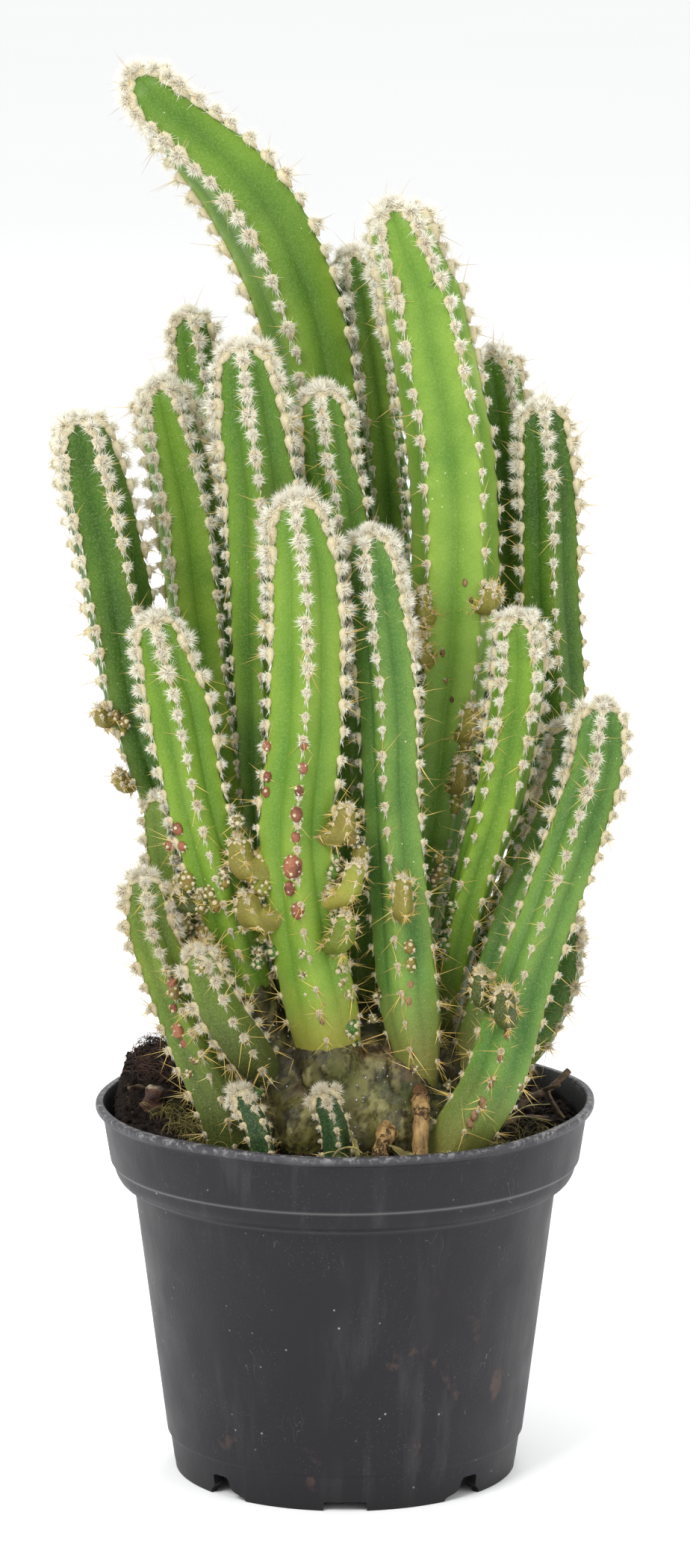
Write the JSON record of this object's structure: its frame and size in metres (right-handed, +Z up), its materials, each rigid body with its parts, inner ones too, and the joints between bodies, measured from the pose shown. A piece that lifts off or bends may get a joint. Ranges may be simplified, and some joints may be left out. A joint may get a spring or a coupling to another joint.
{
  "type": "potted columnar cactus",
  "caption": "Tall clustering cactus with upright ribbed stems, woolly rib edges and fine spines, in a round plastic nursery pot.",
  "frame": {"origin": "middle of the pot's foot ring, on the surface that the pot stands on", "axes": "+Z up along the pot's axis and the stems; -Y is the front that the picture shows"},
  "size_m": [0.1198, 0.105, 0.295],
  "materials": {
    "pot_plastic": "matte charcoal black, dusty",
    "peat": "dark crumbly peat with fibres",
    "corky_crown": "corky grey olive skin",
    "twig": "dry bark",
    "skin_bright": "waxy lime green plant skin",
    "skin_green": "waxy mid green plant skin",
    "skin_blue_green": "waxy deep blue green plant skin",
    "skin_olive": "waxy olive plant skin",
    "areole_wool": "cream plant wool",
    "spines": "golden straw coloured spines",
    "air_roots": "tan root bark",
    "moss": "dry moss and plant shreds"
  },
  "bodies": {
    "root": {"pot": "pot_plastic", "peat": "peat", "crown": "corky_crown", "twig": "twig", "stem_tall_leaning": "skin_green", "stem_broad": "skin_bright", "stem_back_middle": "skin_green", "stem_back_right": "skin_green", "stem_right": "skin_green", "stem_centre": "skin_green", "stem_front_bright": "skin_bright", "stem_front_slim": "skin_blue_green", "stem_left": "skin_green", "stem_left_inner": "skin_green", "stem_left_front": "skin_bright", "stem_left_centre": "skin_green", "stem_back_left": "skin_blue_green", "stem_right_front": "skin_bright", "stem_right_curved": "skin_blue_green", "stem_right_shaded": "skin_blue_green", "stem_low_left": "skin_olive", "stem_low_outer": "skin_olive", "stem_low_front": "skin_olive", "stem_low_right": "skin_green", "stem_rear_left": "skin_green", "stem_rear_middle": "skin_bright", "stem_rear_right": "skin_green", "stem_rear_low": "skin_olive", "pup_rear_left": "skin_blue_green", "pup_rear_right": "skin_blue_green", "pup_front": "skin_blue_green", "pup_front_left": "skin_blue_green"}
  },
  "joints": []
}
